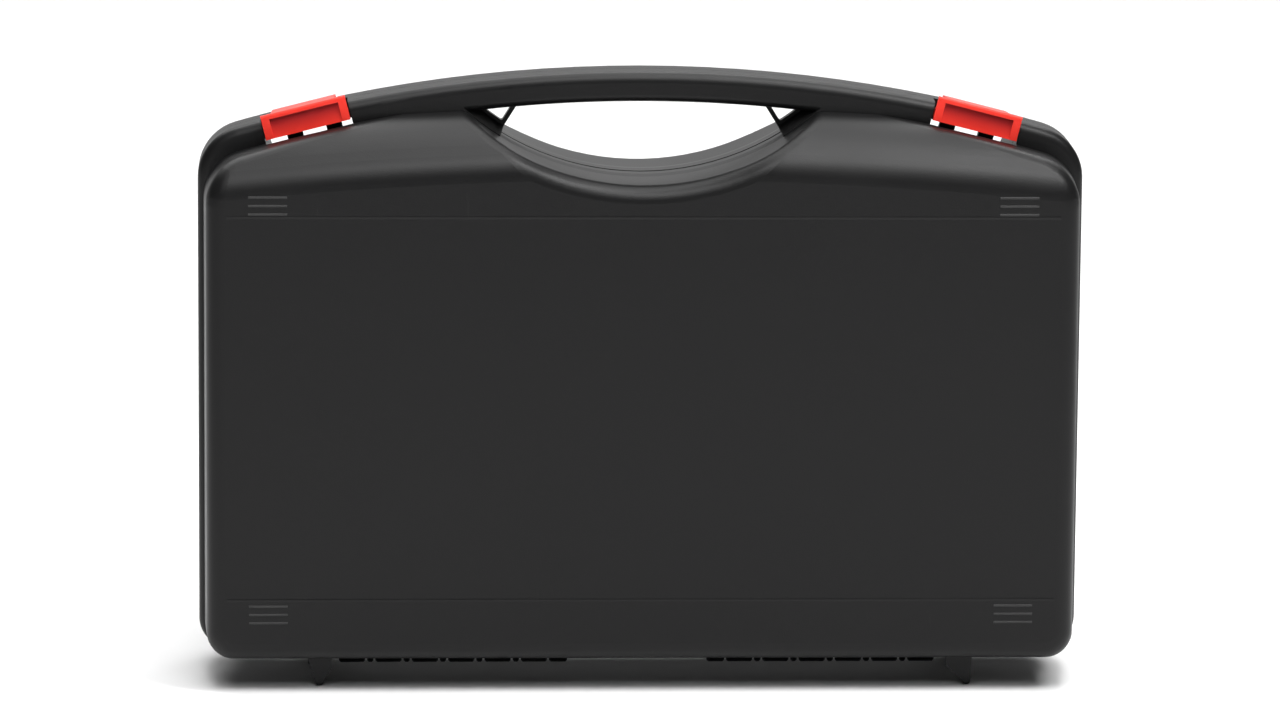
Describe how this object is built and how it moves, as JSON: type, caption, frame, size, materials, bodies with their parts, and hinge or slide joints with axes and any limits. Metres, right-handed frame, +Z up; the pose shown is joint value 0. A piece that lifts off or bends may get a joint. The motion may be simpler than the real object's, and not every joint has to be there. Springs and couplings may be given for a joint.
{
  "type": "hard tool case",
  "caption": "Hard plastic tool case that stands on moulded feet: two hinged shells with a foam sheet in each, a built-in grip handle and flip latches.",
  "frame": {"origin": "middle of the footprint on the ground, below the line where the two shells part", "axes": "+X along the case's width to the right as seen from the lid, +Z up through the handle, -Y out of the lid's face"},
  "size_m": [0.42, 0.1, 0.2922],
  "materials": {
    "shell_plastic": "moulded black plastic, fine matt grain",
    "latch_plastic": "moulded red plastic, satin",
    "pin_steel": "plain steel wire",
    "foam": "open-cell dark grey foam"
  },
  "bodies": {
    "base": {"rear_shell": "shell_plastic", "hinge_pin_left": "pin_steel", "hinge_pin_right": "pin_steel", "base_foam": "foam"},
    "lid": {"front_shell": "shell_plastic", "latch_pin_left": "pin_steel", "latch_pin_right": "pin_steel", "lid_foam": "foam"},
    "latch_left": {"latch_left": "latch_plastic"},
    "latch_right": {"latch_right": "latch_plastic"}
  },
  "joints": [
    {"name": "lid_hinge", "type": "hinge", "parent": "base", "child": "lid", "pos_m": [0, 0, 0.0087], "axis": [1, 0, 0], "range_deg": [0, 150]},
    {"name": "latch_left_hinge", "type": "hinge", "parent": "lid", "child": "latch_left", "pos_m": [-0.15844, -0.0126, 0.26825], "axis": [0.969, 0, 0.2469], "range_deg": [0, 85]},
    {"name": "latch_right_hinge", "type": "hinge", "parent": "lid", "child": "latch_right", "pos_m": [0.15844, -0.0126, 0.26825], "axis": [0.969, 0, -0.2469], "range_deg": [0, 85]}
  ]
}
